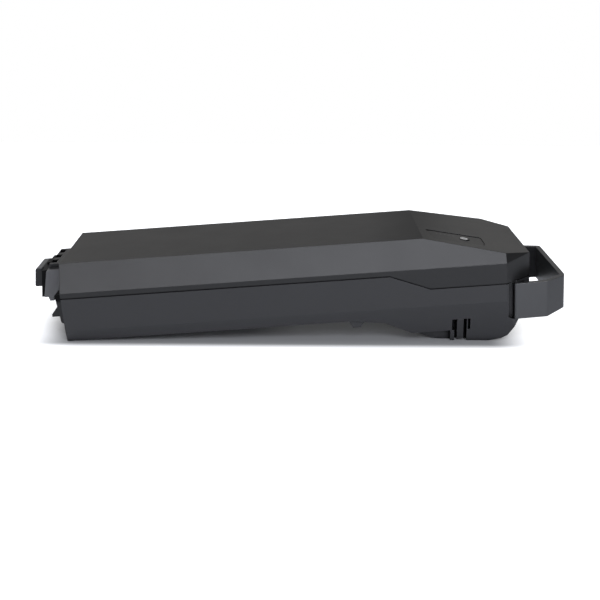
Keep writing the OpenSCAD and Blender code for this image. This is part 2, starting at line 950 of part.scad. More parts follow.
module plug_nose() {
    color(trim_colour) placed()
        difference() {
            union() {
                across(rounded([
                    [-plug_out + plug_low, plug_z],
                    [-saddle_out + saddle_foot, plug_z],
                    [-saddle_out + 2 * saddle_foot, plug_z + plug_h],
                    [-plug_out + plug_lean, plug_z + plug_h],
                    [-plug_out, plug_z + plug_low]
                ], [0, 0, 0, plug_top_r, 0]), plug_w);
                // saddle that lies against the block
                across([
                    [-saddle_out, block_top_z - block_h - saddle_foot],
                    [-block_foot - snug, block_top_z - block_h - saddle_foot],
                    [-block_foot - snug, block_top_z - block_h],
                    [block_face_x(plug_z + plug_h) - snug, plug_z + plug_h],
                    [block_face_x(plug_z + plug_h) - saddle_t, plug_z + plug_h]
                ], saddle_w);
                // small stop rib on top of the saddle
                span([-saddle_out + stop_in, -stop_w / 2, plug_z + plug_h - over],
                    [-saddle_out + stop_in + stop_l, stop_w / 2, plug_z + plug_h + stop_h]);
            }
            contact_places() translate([-plug_out - over, -contact_w / 2, -contact_h / 2])
                cube([2 * plug_out, contact_w, contact_h]);
        }
}

// Forked blades inside the slots of the plug nose
module plug_contacts() {
    color(brass_colour) placed() contact_places() {
        span([-plug_out + contact_in, contact_w / 2 - snug - contact_t, -contact_h / 2 + snug],
            [wall + flange_h + tail_l, contact_w / 2 - snug, contact_h / 2 - snug]);
        span([-plug_out + contact_in, -contact_w / 2 + snug, -contact_h / 2 + snug],
            [-plug_out * 2 / 3 + contact_in, -contact_w / 2 + snug + contact_t, contact_h / 2 - snug]);
        span([-plug_out * 2 / 3 + contact_in - contact_t, -contact_w / 2 + snug, -contact_h / 2 + snug],
            [-plug_out * 2 / 3 + contact_in, contact_w / 2 - snug, contact_h / 2 - snug]);
    }
}

// End plate with the two hooks that catch in the carrier
plate_h = 26.5;
plate_top_z = plate_z + plate_h;
plate_round = 3;
plate_lean = 2.7;
plate_screw_y = 18;
plate_screw_lift = 8;
plate_screw_z = plate_z + plate_screw_lift;
plate_screw_l = 9;
hook_h = 7.5;
hook_lift = 4.4;
hook_z = plate_z + hook_lift;
hook_tip_h = 2.2;

module plate_screw_places() {
    for (y = [-plate_screw_y, plate_screw_y])
        translate([0, y, plate_screw_z]) children();
}

module end_plate() {
    color(trim_colour) placed()
        difference() {
            union() {
                across(rounded([
                    [-plate_t + plate_lean, plate_z],
                    [-snug, plate_z],
                    [-snug, plate_top_z],
                    [-plate_t, plate_top_z]
                ], [plate_round, 0, 0, plate_round / 3]), plate_w);
                for (y = [-hook_pitch / 2, hook_pitch / 2])
                    translate([0, y, 0])
                        across([
                            [-plate_t + plate_round, hook_z],
                            [-plate_t + plate_round, hook_z + hook_h],
                            [-plate_t - hook_out / 3, hook_z + hook_h],
                            [-plate_t - hook_out, hook_z + hook_tip_h],
                            [-plate_t - hook_out, hook_z]
                        ], hook_w);
            }
            translate([-block_foot - over, -block_w / 2 - fit, block_top_z - block_h - fit])
                cube([block_foot + 2 * over, block_w + 2 * fit, case_h]);
            plate_screw_places() {
                rotate([0, 90, 0]) cylinder(r = screw_r + snug, h = 3 * plate_t, center = true);
                translate([-2 * plate_t, 0, 0])
                    rotate([0, 90, 0]) cylinder(r = well_r, h = 2 * plate_t - wall);
            }
        }
}

module end_screws() {
    color(steel_colour) placed() plate_screw_places() translate([-wall, 0, 0]) rotate([0, 90, 0]) {
        translate([0, 0, -screw_head_h])
            difference() {
                cylinder(r = screw_head_r, h = screw_head_h);
                translate([0, 0, -over]) cylinder(r = screw_r, h = over + screw_head_h / 2, $fn = 6);
            }
        cylinder(r = screw_r, h = plate_screw_l);
    }
}

// Charging socket behind its flap on the far side
jack_l = 10;
jack_pin_r = 1.05;
rim_t = 1.2;
rim_w = 1;
boss_depth = 1.4;
boss_inset = 1.4;
boss_drop = 0.5;
mouth_y = case_w / 2 - wall - flap_t;
jack_back_y = mouth_y - jack_l / 2;

module charge_socket() {
    color(trim_colour) placed()
        difference() {
            union() {
                bar_y(charge_x, charge_z, mouth_r, mouth_y, mouth_y + rim_t);
                bar_y(charge_x, charge_z, mouth_r - rim_w, jack_back_y, mouth_y + rim_t);
            }
            bar_y(charge_x, charge_z, jack_r, jack_back_y + rim_t, case_w);
        }
}

module charge_pin() {
    color(brass_colour) placed()
        bar_y(charge_x, charge_z, jack_pin_r, jack_back_y + rim_t, mouth_y);
}

module charge_flap() {
    color(trim_colour) placed() {
        difference() {
            union() {
                span([charge_x - flap_l / 2, case_w / 2 - flap_t, charge_z - flap_h / 2],
                    [charge_x + flap_l / 2, case_w / 2, flap_axis_z]);
                bar_x(flap_axis_y, flap_axis_z, flap_t / 2, charge_x - flap_l / 2, charge_x + flap_l / 2);
                bar_x(flap_axis_y, flap_axis_z, flap_pin_r, charge_x - flap_l / 2 - flap_pin_l,
                    charge_x + flap_l / 2 + flap_pin_l);
                bar_y(charge_x, charge_z - boss_drop, mouth_r - boss_inset,
                    case_w / 2 - flap_t - boss_depth, case_w / 2 - flap_t / 2);
            }
            // finger notch in the lower edge
            bar_y(charge_x, charge_z - flap_h / 2, wall, case_w / 2 - flap_t / 2, case_w);
        }
    }
}

// Battery pack: blocks of cells lying along the case
pack_x = 3.4 * wall;
block_gap = 3;
block_pitch = cell_l + block_gap;
strip_t = 0.3;
card_t = 0.5;
strip_w = 9;
holder_edge = 1.3;
pack_end_x = pack_x + block_count * block_pitch - block_gap;

// What lies over the cells and beside them
tray_t = 1.5;
spacer_h = 3;
sink_h = 8;
thin_r = 0.9;

// As many cells as fit beside the charging socket and under the boards
beside_w = wall + flap_t + jack_l / 2 + 2 * thin_r + 3 * fit;
slope_fall = (pack_end_x - level_l) * tan(slope_angle);
under_slope_h = slope_fall + (board_t - board_z + screw_r) / cos(slope_angle);
boards_h = wall + tray_t + spacer_h + board_t + sink_h + 2 * fit;
rows = min(row_cells, floor((case_w - 2 * beside_w - 2 * holder_edge) / cell_pitch));
layer_room = case_h - in_floor_z - 2 * holder_edge - max(under_slope_h, boards_h);
layers = min(layer_count, floor(layer_room / cell_pitch));
row_w = rows * cell_pitch + 2 * holder_edge;
pack_h = layers * cell_pitch + 2 * holder_edge;
pack_top_z = in_floor_z + pack_h;

module block_places() {
    for (b = [0:block_count - 1])
        translate([pack_x + b * block_pitch, 0, 0]) children();
}

// Height of the middle of a layer of cells
function layer_z(layer) = in_floor_z + holder_edge + (2 * layer + 1) * cell_pitch / 2;

module cell_places() {
    for (row = [0:rows - 1])
        for (layer = [0:layers - 1])
            translate([0, (row - (rows - 1) / 2) * cell_pitch, layer_z(layer)])
                rotate([0, 90, 0]) children();
}

module cells() {
    color(cell_colour) placed() block_places() cell_places() cylinder(r = cell_r, h = cell_l);
}

module cell_holders() {
    color(trim_colour) placed() block_places()
        for (x = [0, cell_l - holder_t])
            difference() {
                translate([x, -row_w / 2, in_floor_z]) cube([holder_t, row_w, pack_h]);
                translate([x - over, 0, 0])
                    cell_places() cylinder(r = cell_r + snug, h = holder_t + 2 * over);
            }
}

module nickel_strips() {
    color(steel_colour) placed() block_places()
        for (x = [-strip_t, cell_l])
            for (layer = [0:layers - 1])
                translate([x, -row_w / 2 + cell_r, layer_z(layer) - strip_w / 2])
                    cube([strip_t, row_w - 2 * cell_r, strip_w]);
}

module insulating_cards() {
    color([0.75, 0.72, 0.6]) placed() block_places()
        for (x = [-strip_t - card_t, cell_l + strip_t])
            translate([x, -row_w / 2, in_floor_z]) cube([card_t, row_w, pack_h]);
}

// Control board on its tray over the cells
tray_x = pack_x + 1.2 * block_pitch;
tray_l = 110;
tray_w = 66;
spacer_r = 3;
board_inset = 5;
sink_l = 60;
sink_base = 2;
fin_t = 1;
sink_fins = 8;
fuse_l = 19;
fuse_h = 7;

module spacer_places() {
    for (x = [tray_x + board_inset, tray_x + tray_l - board_inset])
        for (y = [-tray_w / 2 + board_inset, tray_w / 2 - board_inset])
            translate([x, y, pack_top_z + tray_t]) children();
}

module control_tray() {
    color(trim_colour) placed() {
        translate([tray_x, -tray_w / 2, pack_top_z]) cube([tray_l, tray_w, tray_t]);
        spacer_places() cylinder(r = spacer_r, h = spacer_h);
    }
}

board_margin = 1;
control_z = pack_top_z + tray_t + spacer_h;
control_top_z = control_z + board_t;

module control_board() {
    color(board_colour) placed()
        translate([tray_x + board_margin, -tray_w / 2 + board_margin, control_z])
            cube([tray_l - 2 * board_margin, tray_w - 2 * board_margin, board_t]);
}

module heat_sink() {
    color(steel_colour) placed() translate([tray_x + board_inset, 0, control_z + board_t]) {
        translate([0, -tray_w / 4, 0]) cube([sink_l, tray_w / 2, sink_base]);
        for (k = [0:sink_fins - 1])
            translate([0, -tray_w / 4 + k * (tray_w / 2 - fin_t) / (sink_fins - 1), sink_base])
                cube([sink_l, fin_t, sink_h - sink_base]);
    }
}

module main_fuse() {
    color([0.75, 0.25, 0.2]) placed()
        translate([tray_x + tray_l - board_inset - 2 * fuse_l, -fuse_h / 2, control_z + board_t])
            cube([fuse_l, fuse_h, fuse_h]);
}

// Leads that run between the pieces inside the case
lead_r = 1.6;
lead_y = 2 * slot_pitch;
lead_z = pack_top_z + lead_r;
foam_l = 30;
foam_inset = 8.8;
foam_w = row_w - 2 * foam_inset;

module power_leads() {
    color([0.6, 0.12, 0.1]) placed() both_sides() {
        bar_x(lead_y, lead_z, lead_r, wall + flange_h + tail_l + fit, tray_x - lead_r);
        translate([tray_x - lead_r, lead_y, lead_z]) sphere(r = lead_r);
        translate([tray_x - lead_r, lead_y, lead_z])
            cylinder(r = lead_r, h = control_top_z + lead_r - lead_z);
        translate([tray_x - lead_r, lead_y, control_top_z + lead_r]) sphere(r = lead_r);
        bar_x(lead_y, control_top_z + lead_r, lead_r, tray_x - lead_r, tray_x + board_inset - fit);
    }
}

// Two leads from the jack up beside the cells and over to the control board
jack_lead_y = max(row_w, tray_w) / 2 + thin_r + 2 * fit;
jack_lead_dx = 2.2;

module charge_leads() {
    color([0.15, 0.15, 0.16]) placed()
        for (x = [charge_x - jack_lead_dx, charge_x + jack_lead_dx]) {
            bar_y(x, charge_z, thin_r, jack_lead_y, jack_back_y);
            translate([x, jack_lead_y, charge_z]) sphere(r = thin_r);
            translate([x, jack_lead_y, charge_z])
                cylinder(r = thin_r, h = control_top_z + thin_r - charge_z);
            translate([x, jack_lead_y, control_top_z + thin_r]) sphere(r = thin_r);
            bar_y(x, control_top_z + thin_r, thin_r, tray_w / 2 - board_inset, jack_lead_y);
        }
}

// Flat ribbon from the control board over the cells to the indicator board
ribbon_w = 6;
ribbon_t = 1;
ribbon_x = tray_x + tray_l - 2 * board_inset;
ribbon_y = -(max(foam_w, tray_w) / 2 + ribbon_t);
ribbon_run = 16;
ribbon_end_x = level_l + ribbon_run;
ribbon_top_z = case_h - (board_t - board_z) / cos(slope_angle) - ribbon_run * tan(slope_angle) - snug;

module signal_leads() {
    color([0.85, 0.85, 0.8]) placed() {
        span([ribbon_x - ribbon_w, ribbon_y - ribbon_t, control_top_z],
            [ribbon_x, -tray_w / 2 + board_inset, control_top_z + ribbon_t]);
        span([ribbon_x - ribbon_w, ribbon_y - ribbon_t, pack_top_z],
            [ribbon_x, ribbon_y, control_top_z + ribbon_t]);
        span([ribbon_x - ribbon_w, ribbon_y - ribbon_w, pack_top_z],
            [ribbon_end_x, ribbon_y, pack_top_z + ribbon_t]);
        span([ribbon_end_x - ribbon_t, ribbon_y - ribbon_w, pack_top_z],
            [ribbon_end_x, ribbon_y, ribbon_top_z]);
        span([ribbon_end_x - ribbon_t, ribbon_y - ribbon_w, ribbon_top_z - ribbon_t],
            [ribbon_end_x, ribbon_y + ribbon_w, ribbon_top_z]);
    }
}

// Foam blocks that hold the pack down
module foam_pads() {
    color([0.2, 0.2, 0.21]) placed()
        for (x = [pack_x + 2 * holder_t, tray_x + tray_l + 2 * holder_t])
            difference() {
                translate([x, -foam_w / 2, pack_top_z]) cube([foam_l, foam_w, case_h - wall - pack_top_z]);
                span([0, -lead_y - 2 * lead_r, 0], [tray_x, lead_y + 2 * lead_r, pack_top_z + 3 * lead_r]);
            }
}

top_shell();
lower_shell();
shell_gasket();
case_screws();
side_catches();
handle();
handle_pins();
indicator_panel();
power_button();
light_guide();
indicator_board();
indicator_lamps();
button_switch();
switch_plunger();
board_screws();
connector_block();
plug_nose();
plug_contacts();
end_plate();
end_screws();
charge_socket();
charge_pin();
charge_flap();
cells();
cell_holders();
nickel_strips();
insulating_cards();
control_tray();
control_board();
heat_sink();
main_fuse();
power_leads();
charge_leads();
signal_leads();
foam_pads();
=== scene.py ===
import json
import math

import bpy
from mathutils import Euler, Matrix, Vector


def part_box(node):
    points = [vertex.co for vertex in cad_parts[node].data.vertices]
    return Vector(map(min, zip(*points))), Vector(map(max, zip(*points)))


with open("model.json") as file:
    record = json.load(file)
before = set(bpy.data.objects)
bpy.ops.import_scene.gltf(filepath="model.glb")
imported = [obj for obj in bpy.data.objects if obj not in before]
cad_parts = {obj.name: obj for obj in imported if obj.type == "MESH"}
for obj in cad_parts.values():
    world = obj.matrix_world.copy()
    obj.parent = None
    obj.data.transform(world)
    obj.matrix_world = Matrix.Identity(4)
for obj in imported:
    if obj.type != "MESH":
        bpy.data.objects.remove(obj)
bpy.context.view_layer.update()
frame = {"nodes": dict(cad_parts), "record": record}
scene = bpy.context.scene

# Lengths are in mm and angles in degrees, except where a comment says otherwise
MM = 0.001


def corners_of(node):
    """The lowest and highest corners of a CAD node."""
    return [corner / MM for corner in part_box(node)]


TOP_LOW, TOP_HIGH = corners_of("top_shell")
LOWER_LOW, LOWER_HIGH = corners_of("lower_shell")
FRONT_X = LOWER_LOW.x

# Camera, solved from the corners of the case that show in the photograph
CAMERA_AT = (15.063, -841.511, 319.944)
CAMERA_ANGLES = (70.9648, 3.9883, -0.5068)  # tilt, roll and turn
LENS = 58.732
SENSOR_W = 36
NEAREST = 50
FARTHEST = 20000


def make_camera():
    data = bpy.data.cameras.new("camera")
    data.lens = LENS
    data.sensor_width = SENSOR_W
    data.clip_start = NEAREST * MM
    data.clip_end = FARTHEST * MM
    camera = bpy.data.objects.new("camera", data)
    scene.collection.objects.link(camera)
    turned = Euler([math.radians(angle) for angle in CAMERA_ANGLES]).to_matrix().to_4x4()
    camera.matrix_world = Matrix.Translation(Vector(CAMERA_AT) * MM) @ turned
    scene.camera = camera


# Shader nodes
RISE = (0.0, 1.0)
FALL = (1.0, 0.0)
NOISE_SPAN = (0.3, 0.7)  # most of a noise lies between these values
SPECULAR = 0.5
WHITE = (1, 1, 1, 1)


class Nodes:
    """A new material, and short calls that add and join its shader nodes."""

    def __init__(self, name):
        self.material = bpy.data.materials.new(name)
        self.material.use_nodes = True
        self.tree = self.material.node_tree
        self.tree.nodes.clear()
        self.out = self.add("ShaderNodeOutputMaterial")
        self.coord = self.add("ShaderNodeTexCoord").outputs["Object"]

    def add(self, kind, **settings):
        node = self.tree.nodes.new(kind)
        for key, value in settings.items():
            setattr(node, key, value)
        return node

    def put(self, socket, value):
        """Joins another node's output to a socket, or sets the socket to a plain value."""
        if isinstance(value, bpy.types.NodeSocket):
            self.tree.links.new(value, socket)
        else:
            socket.default_value = value

    def noise(self, pattern):
        """A noise from its features per metre, its detail and its roughness."""
        node = self.add("ShaderNodeTexNoise")
        self.put(node.inputs["Vector"], self.coord)
        for key, value in zip(("Scale", "Detail", "Roughness"), pattern):
            self.put(node.inputs[key], value)
        return node.outputs["Fac"]

    def ramp(self, value, over=NOISE_SPAN, to=RISE, shape="LINEAR"):
        """Moves between the two levels in to while the value crosses the span in over."""
        node = self.add("ShaderNodeMapRange", interpolation_type=shape)
        self.put(node.inputs["Value"], value)
        for key, number in zip(("From Min", "From Max", "To Min", "To Max"), (*over, *to)):
            self.put(node.inputs[key], number)
        return node.outputs["Result"]

    def place(self, axis):
        """A coordinate of the painted point, in metres."""
        node = self.add("ShaderNodeSeparateXYZ")
        self.put(node.inputs["Vector"], self.coord)
        return node.outputs[axis]

    def along(self, axis, over, to=RISE):
        """A ramp along one axis, over a span in mm."""
        return self.ramp(self.place(axis), [end * MM for end in over], to)

    def maths(self, operation, a, b=0):
        node = self.add("ShaderNodeMath", operation=operation)
        self.put(node.inputs[0], a)
        self.put(node.inputs[1], b)
        return node.outputs[0]

    def vectors(self, operation, a, b, result):
        node = self.add("ShaderNodeVectorMath", operation=operation)
        self.put(node.inputs[0], a)
        self.put(node.inputs[1], b)
        return node.outputs[result]

    def tint(self, factor, a, b):
        node = self.add("ShaderNodeMix", data_type="RGBA")
        for key, value in (("Factor", factor), ("A", a), ("B", b)):
            self.put(node.inputs[key], value)
        return node.outputs["Result"]

    def bump(self, height, strength, depth):
        node = self.add("ShaderNodeBump")
        node.inputs["Strength"].default_value = strength
        node.inputs["Distance"].default_value = depth * MM
        self.put(node.inputs["Height"], height)
        return node


def finish_surface(kit, colour, roughness, normal, metallic=0.0, specular=SPECULAR):
    shader = kit.add("ShaderNodeBsdfPrincipled")
    kit.put(shader.inputs["Base Color"], colour)
    kit.put(shader.inputs["Roughness"], roughness)
    kit.put(shader.inputs["Normal"], normal)
    kit.put(shader.inputs["Metallic"], metallic)
    kit.put(shader.inputs["Specular IOR Level"], specular)
    kit.put(kit.out.inputs["Surface"], shader.outputs["BSDF"])
    return kit.material


def toned(colour, gain):
    """A colour made darker or lighter, and no lighter than white."""
    return [min(1, part * gain) for part in colour[:3]] + [1]


def length(kit, a, b):
    """The length of a flat vector from its two parts."""
    return kit.maths("POWER", kit.maths("ADD", kit.maths("POWER", a, 2), kit.maths("POWER", b, 2)), 0.5)


# Moulded plastic
PLASTIC_ROUGH = 0.31
SHEEN_PATTERN = (21, 5, 0.6)
SHEEN_SPAN = (0.1, 0.9)
SHEEN_CHANGE = 0.05
EDGE_R = 0.6
EDGE_SAMPLES = 6
EDGE_COSINES = (0.8, 0.995)  # between the softened and the true normal
# Painted highlight along the edges
EDGE_HIGHLIGHT_SHARE = 0.25
EDGE_HIGHLIGHT_GAIN = 2.2
EDGE_HIGHLIGHT_PATTERN = (38, 5, 0.6)
EDGE_HIGHLIGHT_LEVELS = (0.15, 1.0)
MOTTLE_PATTERN = (14, 6, 0.65)
MOTTLE_GAINS = (0.98, 1.02)
SPECK_PATTERN = (520, 3, 0.7)
SPECK_SPAN = (0.45, 0.75)
SPECK_LEVELS = (0.0, 0.12)
SPECK_GAIN = 1.7
GRAIN_PATTERN = (1400, 3, 0.6)
GRAIN_STRENGTH = 0.25
GRAIN_DEPTH = 0.06
# Painted shade in hollows, where other faces stand close by
HOLLOW_REACH = 12
HOLLOW_SAMPLES = 8
HOLLOW_SPAN = (0.28, 0.6)
HOLLOW_LEVELS = (0.1, 1.0)
HOLLOW_SHADE_GAIN = 0.2


def painted_edge_highlight(kit, rounded):
    """Painted highlight: patches along the edges painted lighter."""
    flat = kit.add("ShaderNodeNewGeometry").outputs["True Normal"]
    edge = kit.ramp(kit.vectors("DOT_PRODUCT", rounded, flat, "Value"), EDGE_COSINES, FALL)
    patches = kit.ramp(kit.noise(EDGE_HIGHLIGHT_PATTERN), to=EDGE_HIGHLIGHT_LEVELS)
    return kit.maths("MULTIPLY", kit.maths("MULTIPLY", edge, EDGE_HIGHLIGHT_SHARE), patches)


def painted_hollow_shade(kit):
    """Painted shade: one on open faces, falling where other faces stand close by."""
    hollow = kit.add("ShaderNodeAmbientOcclusion", samples=HOLLOW_SAMPLES)
    hollow.inputs["Distance"].default_value = HOLLOW_REACH * MM
    return kit.ramp(hollow.outputs["AO"], HOLLOW_SPAN, HOLLOW_LEVELS)


def plastic(name, colour, rough=PLASTIC_ROUGH, specular=SPECULAR, marks=None):
    """Moulded plastic with a fine grain, an uneven sheen, painted highlights along its edges and painted
    shade in its hollows.
    """
    kit = Nodes(name)
    soft = kit.add("ShaderNodeBevel", samples=EDGE_SAMPLES)
    soft.inputs["Radius"].default_value = EDGE_R * MM
    rounded = soft.outputs["Normal"]
    edge_highlight = painted_edge_highlight(kit, rounded)
    shade = kit.tint(kit.noise(MOTTLE_PATTERN), *(toned(colour, gain) for gain in MOTTLE_GAINS))
    specks = kit.ramp(kit.noise(SPECK_PATTERN), SPECK_SPAN, SPECK_LEVELS)
    shade = kit.tint(specks, shade, toned(colour, SPECK_GAIN))
    # painted highlight: lighter colour along the edges
    shade = kit.tint(edge_highlight, shade, toned(colour, EDGE_HIGHLIGHT_GAIN))
    # marks adds print, and painted light and shade
    if marks:
        shade, specular = marks(kit, shade, specular)
    sheen_levels = (rough - SHEEN_CHANGE, rough + SHEEN_CHANGE)
    sheen = kit.ramp(kit.noise(SHEEN_PATTERN), SHEEN_SPAN, sheen_levels)
    grain = kit.bump(kit.noise(GRAIN_PATTERN), GRAIN_STRENGTH, GRAIN_DEPTH)
    kit.put(grain.inputs["Normal"], rounded)
    # painted shade: darker colour and less reflection in hollows
    lit = painted_hollow_shade(kit)
    shade = kit.tint(lit, toned(colour, HOLLOW_SHADE_GAIN), shade)
    shine = kit.maths("MULTIPLY", lit, specular)
    return finish_surface(kit, shade, sheen, grain.outputs["Normal"], specular=shine)


# Metal and rubber
METAL_ROUGHS = (0.24, 0.42)
METAL_LINES = (900, 3, 0.6)
METAL_CLOUDS = (30, 4, 0.5)
METAL_DULL_GAIN = 0.86
METAL_STRENGTH = 0.2
METAL_DEPTH = 0.02
RUBBER_ROUGH = 0.75
RUBBER_ROUGH_CHANGE = 0.08
RUBBER_SHEEN = (60, 4, 0.5)
RUBBER_CLOUDS = (24, 5, 0.5)
RUBBER_GAINS = (0.8, 1.3)
RUBBER_GRAIN = (2200, 2, 0.5)
RUBBER_STRENGTH = 0.3
RUBBER_DEPTH = 0.05


def metal(name, colour):
    kit = Nodes(name)
    lines = kit.noise(METAL_LINES)
    shade = kit.tint(kit.noise(METAL_CLOUDS), toned(colour, METAL_DULL_GAIN), colour)
    grain = kit.bump(lines, METAL_STRENGTH, METAL_DEPTH).outputs["Normal"]
    return finish_surface(kit, shade, kit.ramp(lines, to=METAL_ROUGHS), grain, metallic=1.0)


def rubber(name, colour, rough=RUBBER_ROUGH):
    kit = Nodes(name)
    shade = kit.tint(kit.noise(RUBBER_CLOUDS), *(toned(colour, gain) for gain in RUBBER_GAINS))
    roughs = (rough - RUBBER_ROUGH_CHANGE, rough + RUBBER_ROUGH_CHANGE)
    sheen = kit.ramp(kit.noise(RUBBER_SHEEN), to=roughs)
    grain = kit.bump(kit.noise(RUBBER_GRAIN), RUBBER_STRENGTH, RUBBER_DEPTH).outputs["Normal"]
    return finish_surface(kit, shade, sheen, grain)


# Painted light and shade on the shells: a paler lower shell, and dark lips along the parting line that steps
# down towards the rear
# Painted shade in narrow gaps
GAP_SHADE = (0.002, 0.002, 0.002, 1)
PART_GAP = 0.8
STEP_FROM = 277
STEP_L = 34
STEP_SPAN = (FRONT_X + STEP_FROM, FRONT_X + STEP_FROM + STEP_L)
STEP_HEIGHTS = (LOWER_HIGH.z + PART_GAP / 2, TOP_LOW.z - PART_GAP / 2)
LIP_REACH = (0.4, 0.7)
# Painted light: the lower shell's colour, paler for the light the floor throws up onto it
LOWER_PAINTED_LIGHT_COLOUR = (0.025, 0.025, 0.0265, 1)
SHADE_CHANGE = (-0.2, 0.2)


def shell_painted_light_and_shade(kit, shade, specular):
    """Painted light: the lower shell painted slightly paler, for light from the floor below; painted shade:
    dark lips on both shells along the parting line.
    """
    line = kit.along("X", STEP_SPAN, [height * MM for height in STEP_HEIGHTS])
    above = kit.maths("DIVIDE", kit.maths("SUBTRACT", kit.place("Z"), line), MM)
    # painted light: the lower shell paler
    shade = kit.tint(kit.ramp(above, SHADE_CHANGE, FALL), shade, LOWER_PAINTED_LIGHT_COLOUR)
    # painted shade: dark lips along the parting gap, with less reflection
    clear = kit.ramp(kit.maths("ABSOLUTE", above), LIP_REACH)
    return kit.tint(clear, GAP_SHADE, shade), kit.maths("MULTIPLY", clear, specular)


# Painted light and shade on the connector block and the plug
EAR_SPAN = (-31, -28)
# Painted light: the near ear paler, in patches
EAR_LIT_COLOUR = (0.12, 0.12, 0.125, 1)
EAR_PATTERN = (60, 4, 0.5)
EAR_LEVELS = (0.85, 1.0)
PLUG_LOW = corners_of("plug_nose")[0]
NOSE_L = 8
NOSE_END = (PLUG_LOW.x + NOSE_L, PLUG_LOW.x + NOSE_L + 1)
NOSE_TOP = (80.5, 81.5)
# Painted highlight on the nose's top
NOSE_HIGHLIGHT_COLOUR = (0.09, 0.09, 0.092, 1)
# Painted shade on the saddle behind the nose
SADDLE_FROM = (PLUG_LOW.x + NOSE_L - 1, PLUG_LOW.x + NOSE_L + 0.5)
SADDLE_SHADE_LEVELS = (0.0, 0.9)
HOOKS_UP_TO = (PLUG_LOW.z, PLUG_LOW.z + 2)


def ear_painted_light(kit, shade, specular):
    """Painted light: the near ear of the connector block is painted paler than the rest of it, in patches.
    """
    near = kit.along("Y", EAR_SPAN, FALL)
    # painted light: the near ear paler
    wear_and_painted_light = kit.maths("MULTIPLY", near, kit.ramp(kit.noise(EAR_PATTERN), to=EAR_LEVELS))
    return kit.tint(wear_and_painted_light, shade, EAR_LIT_COLOUR), specular


def saddle_shade_and_nose_highlight(kit, shade, specular):
    """Painted shade: the saddle behind the plug's nose lies in a black hollow, its reflection taken away;
    painted highlight: the nose's top is painted pale.
    """
    saddle = kit.along("X", SADDLE_FROM, SADDLE_SHADE_LEVELS)
    saddle_painted_shade = kit.maths("MULTIPLY", saddle, kit.along("Z", HOOKS_UP_TO))
    lit = kit.maths("SUBTRACT", 1, saddle_painted_shade)
    # painted highlight: pale top of the nose
    wear_and_painted_light = kit.maths("MULTIPLY", kit.along("Z", NOSE_TOP), kit.along("X", NOSE_END, FALL))
    return kit.tint(wear_and_painted_light, shade, NOSE_HIGHLIGHT_COLOUR), kit.maths("MULTIPLY", lit, specular)


# Print, lamp windows and painted shade on the slope of the top, measured down the slope from its break and
# across it
LEVEL_L = 307
NOSE_DROP = 20.5
BREAK_AT = Vector((FRONT_X + LEVEL_L, 0, TOP_HIGH.z))
SLOPE = math.atan2(NOSE_DROP, TOP_HIGH.x - BREAK_AT.x)
DOWN = Vector((math.cos(SLOPE), 0, -math.sin(SLOPE)))
ACROSS = Vector((0, 1, 0))
PRINT_EDGE = 0.15
RING_AT = (38.5, -30.0)
RING_R = 3.3
RING_MIDDLE_R = 2.2
RING_MIDDLE_EDGE = 0.5
RING_MIDDLE_SHARE = 0.4
RING_COLOUR = (0.62, 0.62, 0.61, 1)
RING_PATTERN = (300, 4, 0.7)
RING_LEVELS = (0.85, 1.0)
WINDOWS_AT = (15.3, -24.1)
WINDOW_PITCH = 3.7
WINDOW_COUNT = 5
WINDOW_R = 0.6
WINDOW_SHARE = 0.5
WINDOW_COLOUR = (0.3, 0.3, 0.31, 1)
PANEL_CORNER = (8.7, corners_of("indicator_panel")[1].y)
PANEL_L = 46.5
PANEL_LEAN = 1.8
PANEL_TAPER = PANEL_LEAN / (PANEL_L - PANEL_LEAN)
# Painted shade along the panel's far edge and round its corner
SHOULDER_W = 1.7
SHOULDER_CORNER = (2.5, 2.9)


def on_slope(kit, down, across):
    """Distances in mm from a point of the slope, along it and across it."""
    point = (BREAK_AT + down * DOWN + across * ACROSS) * MM
    offset = kit.vectors("SUBTRACT", kit.coord, point, "Vector")
    parts = [kit.vectors("DOT_PRODUCT", offset, way, "Value") for way in (DOWN, ACROSS)]
    return [kit.maths("DIVIDE", part, MM) for part in parts]


def within(kit, distance, reach, edge=PRINT_EDGE):
    """One up to a distance, zero beyond it."""
    return kit.ramp(distance, (reach - edge, reach + edge), FALL)


def ring_mark(kit, shade, specular):
    """The printed power symbol: a white disc with a darker middle."""
    away = length(kit, *on_slope(kit, *RING_AT))
    middle = within(kit, away, RING_MIDDLE_R, RING_MIDDLE_EDGE)
    ring = kit.maths("SUBTRACT", within(kit, away, RING_R), kit.maths("MULTIPLY", middle, RING_MIDDLE_SHARE))
    wear_and_painted_light = kit.maths("MULTIPLY", ring, kit.ramp(kit.noise(RING_PATTERN), to=RING_LEVELS))
    return kit.tint(wear_and_painted_light, shade, RING_COLOUR), specular


def lamp_windows(kit):
    """A row of faint discs, one over each charge lamp."""
    down, across = on_slope(kit, *WINDOWS_AT)
    step = kit.maths("ROUND", kit.maths("DIVIDE", down, WINDOW_PITCH))
    step = kit.maths("MINIMUM", kit.maths("MAXIMUM", step, 0), WINDOW_COUNT - 1)
    down = kit.maths("SUBTRACT", down, kit.maths("MULTIPLY", step, WINDOW_PITCH))
    window = within(kit, length(kit, down, across), WINDOW_R)
    return kit.maths("MULTIPLY", window, WINDOW_SHARE)


def inside_shoulder(kit):
    """Zero on the panel's shoulder along its far edge and round its corner, one on the rest."""
    down, across = on_slope(kit, *PANEL_CORNER)
    edge = kit.maths("ADD", across, kit.maths("MULTIPLY", down, PANEL_TAPER))
    clear = within(kit, edge, -SHOULDER_W)
    return kit.maths("MULTIPLY", clear, kit.ramp(length(kit, down, across), SHOULDER_CORNER))


def panel_windows_and_painted_shade(kit, shade, specular):
    """Faint windows over the lamps, and painted shade on the shoulder of the panel along its far edge."""
    shade = kit.tint(lamp_windows(kit), shade, WINDOW_COLOUR)
    # painted shade: dark shoulder with less reflection
    clear = inside_shoulder(kit)
    return kit.tint(clear, GAP_SHADE, shade), kit.maths("MULTIPLY", clear, specular)


